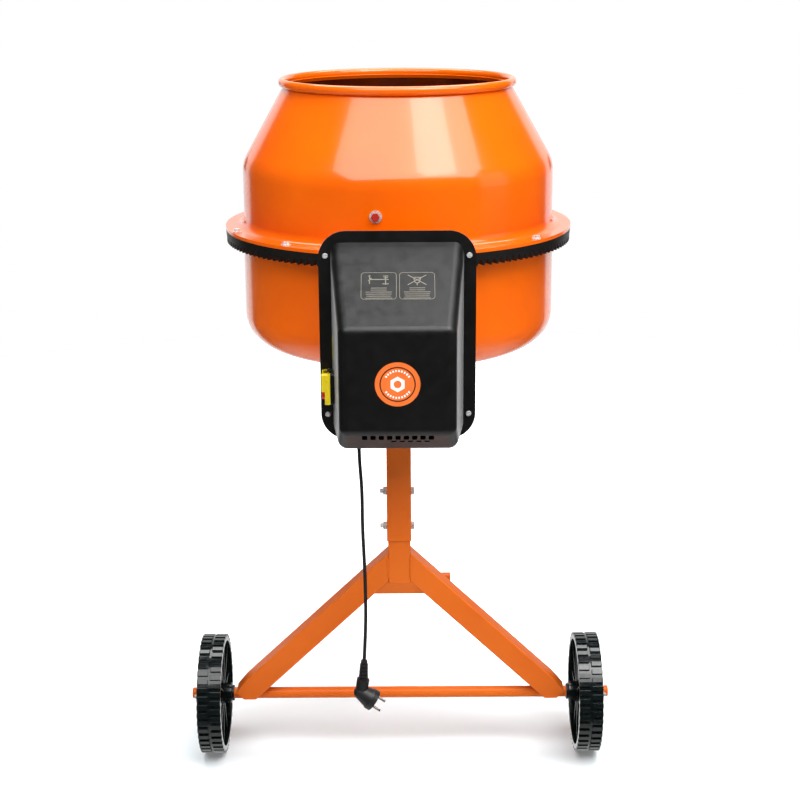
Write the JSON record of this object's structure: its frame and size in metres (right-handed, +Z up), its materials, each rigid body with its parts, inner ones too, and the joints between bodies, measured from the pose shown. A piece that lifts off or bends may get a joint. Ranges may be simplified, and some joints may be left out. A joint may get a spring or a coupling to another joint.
{
  "type": "concrete mixer",
  "caption": "Tilting drum mixer: ribbed-ring drum in a yoke, boxed belt-drive motor, A-frame stand with axle and wheels, handwheel tilt and hanging mains lead.",
  "frame": {"origin": "on the ground under the drum axis, at the middle of the machine's footprint", "axes": "+Z up along the drum axis, +Y away from the motor housing towards the handwheel, +X to the right when facing the motor housing"},
  "size_m": [0.748, 1.09, 1.167],
  "materials": {
    "orange_paint": "gloss",
    "black_iron": "satin",
    "black_steel": "satin",
    "zinc": "satin",
    "dark_steel": "satin",
    "alloy": "cast",
    "bronze": "satin",
    "nickel": "polished",
    "red_rubber": "satin",
    "black_rubber": "satin",
    "wheel_plastic": "gloss",
    "black_plastic": "fine grain",
    "grey_plastic": "satin",
    "yellow_plastic": "gloss",
    "red_plastic": "gloss",
    "green_plastic": "gloss"
  },
  "bodies": {
    "stand": {"upper_post": "orange_paint", "lower_post": "orange_paint", "post_bolts": "zinc", "near_housing": "orange_paint", "far_housing": "orange_paint", "far_post": "orange_paint", "far_foot": "orange_paint", "stretcher": "orange_paint", "stretcher_bolts": "zinc", "lock_disc": "orange_paint", "leg_left": "orange_paint", "leg_right": "orange_paint", "leg_gusset": "orange_paint", "wheel_axle": "orange_paint", "axle_retainers": "zinc", "axle_collars": "black_plastic", "motor_plate": "black_steel", "plate_bolts": "zinc", "motor_body": "alloy", "motor_standoffs": "zinc", "drive_belt": "black_rubber", "capacitor": "grey_plastic", "motor_cover": "black_plastic", "cover_screws": "zinc", "switch_box": "black_plastic", "cable_gland": "black_plastic", "mains_cable": "black_rubber", "plug_body": "black_rubber", "plug_pins": "nickel"},
    "yoke": {"yoke_base": "orange_paint", "yoke_arm_near": "orange_paint", "yoke_arm_far": "orange_paint", "tilt_sleeve": "dark_steel", "shaft_bushes": "bronze", "far_spindle": "dark_steel", "drum_spindle": "dark_steel", "thrust_washer": "dark_steel", "tilt_washers": "zinc", "spindle_end_nut": "zinc", "handwheel_spring": "dark_steel"},
    "drum": {"drum_upper": "orange_paint", "drum_lower": "orange_paint", "ring_gear": "black_iron", "ring_bolts": "zinc", "blade_near": "orange_paint", "blade_far": "orange_paint", "blade_bolts": "zinc", "blade_seals": "red_rubber", "drum_hub": "black_iron", "hub_bolts": "zinc"},
    "drive": {"pinion": "dark_steel", "drive_shaft": "dark_steel", "driven_pulley": "alloy"},
    "rotor": {"motor_rotor": "dark_steel"},
    "handwheel": {"handwheel": "orange_paint"},
    "left_wheel": {"wheel_left": "wheel_plastic"},
    "right_wheel": {"wheel_right": "wheel_plastic"},
    "flap": {"switch_flap": "yellow_plastic"},
    "stop": {"stop_button": "red_plastic"},
    "start": {"start_button": "green_plastic"}
  },
  "joints": [
    {"name": "drum_tilt", "type": "hinge", "parent": "stand", "child": "yoke", "pos_m": [0, 0, 0.84692], "axis": [0, 1, 0], "range_deg": [-135, 135]},
    {"name": "drum_spin", "type": "hinge", "parent": "yoke", "child": "drum", "pos_m": [0, 0, 0.7], "axis": [0, 0, 1], "continuous": true},
    {"name": "pinion_spin", "type": "hinge", "parent": "yoke", "child": "drive", "pos_m": [0, -0.35, 0.84692], "axis": [0, 1, 0], "continuous": true},
    {"name": "motor_spin", "type": "hinge", "parent": "stand", "child": "rotor", "pos_m": [0, -0.45, 0.712], "axis": [0, 1, 0], "continuous": true},
    {"name": "handwheel_pull", "type": "slide", "parent": "yoke", "child": "handwheel", "axis": [0, 1, 0], "range_m": [0, 0.022], "stiffness_N_per_m": 900, "springref_m": -0.03, "deforming": ["handwheel_spring"]},
    {"name": "left_wheel_spin", "type": "hinge", "parent": "stand", "child": "left_wheel", "pos_m": [-0.3337, -0.38, 0.1055], "axis": [1, 0, 0], "continuous": true},
    {"name": "right_wheel_spin", "type": "hinge", "parent": "stand", "child": "right_wheel", "pos_m": [0.3337, -0.38, 0.1055], "axis": [1, 0, 0], "continuous": true},
    {"name": "flap_hinge", "type": "hinge", "parent": "stand", "child": "flap", "pos_m": [-0.116, -0.432, 0.719], "axis": [0, 1, 0], "range_deg": [0, 95]},
    {"name": "stop_press", "type": "slide", "parent": "flap", "child": "stop", "axis": [1, 0, 0], "range_m": [0, 0.0028], "stiffness_N_per_m": 400, "springref_m": -0.003},
    {"name": "start_press", "type": "slide", "parent": "stand", "child": "start", "axis": [1, 0, 0], "range_m": [0, 0.0025], "stiffness_N_per_m": 400, "springref_m": -0.003}
  ],
  "couplings": [
    {"joint": "pinion_spin", "follows": "drum_spin", "ratio": 12},
    {"joint": "motor_spin", "follows": "drum_spin", "ratio": 48}
  ]
}
